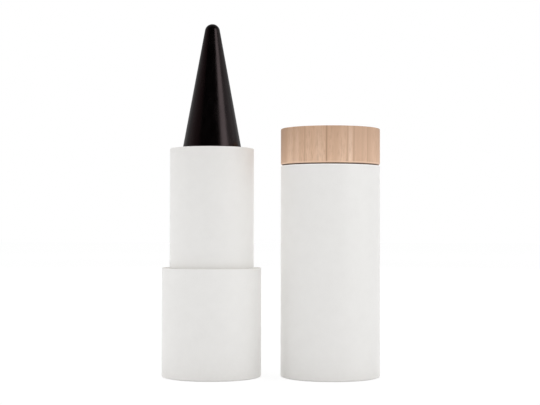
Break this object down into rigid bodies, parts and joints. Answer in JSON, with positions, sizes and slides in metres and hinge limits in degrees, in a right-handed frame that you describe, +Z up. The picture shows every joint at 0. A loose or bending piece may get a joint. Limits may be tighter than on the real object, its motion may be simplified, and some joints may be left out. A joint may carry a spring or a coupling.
{
  "type": "kohl container",
  "caption": "Twist-up kohl stick in a slim round tube, shown open with its cone fully raised and its wood-topped cap standing beside it.",
  "frame": {"origin": "centre of the flat underside of the base, on the surface that the base and the cap stand on", "axes": "+Z up along the tube's axis, from the base to the tip of the kohl; +X towards the cap that stands beside it"},
  "size_m": [0.0459, 0.0208, 0.0743],
  "materials": {
    "tube_board": "smooth satin white",
    "disc_board": "matte",
    "liner_plastic": "satin",
    "mechanism_plastic": "satin",
    "sleeve_plastic": "satin",
    "brake_rubber": "matte",
    "kohl": "satin wax",
    "wood": "sanded, fine straight grain"
  },
  "bodies": {
    "base": {"base_tube": "tube_board", "base_end_disc": "disc_board", "base_liner": "liner_plastic", "guide_tube": "mechanism_plastic", "brake_ring": "brake_rubber"},
    "sleeve": {"sleeve": "sleeve_plastic", "spiral_tube": "mechanism_plastic"},
    "carriage": {"carrier_cup": "mechanism_plastic", "kohl_cone": "kohl"},
    "cap": {"cap_tube": "tube_board", "cap_liner": "liner_plastic", "cap_end_disc": "disc_board", "wooden_top": "wood"}
  },
  "joints": [
    {"name": "sleeve_twist", "type": "hinge", "parent": "base", "child": "sleeve", "pos_m": [0, 0, 0.03525], "axis": [0, 0, 1], "range_deg": [0, 504]},
    {"name": "carriage_slide", "type": "slide", "parent": "base", "child": "carriage", "axis": [0, 0, 1], "range_m": [-0.028, 0]},
    {"name": "cap_lift", "type": "slide", "parent": "base", "child": "cap", "axis": [0, 0, 1], "range_m": [0, 0.08]}
  ],
  "couplings": [
    {"joint": "carriage_slide", "follows": "sleeve_twist", "m_per_rad": -0.003183}
  ]
}
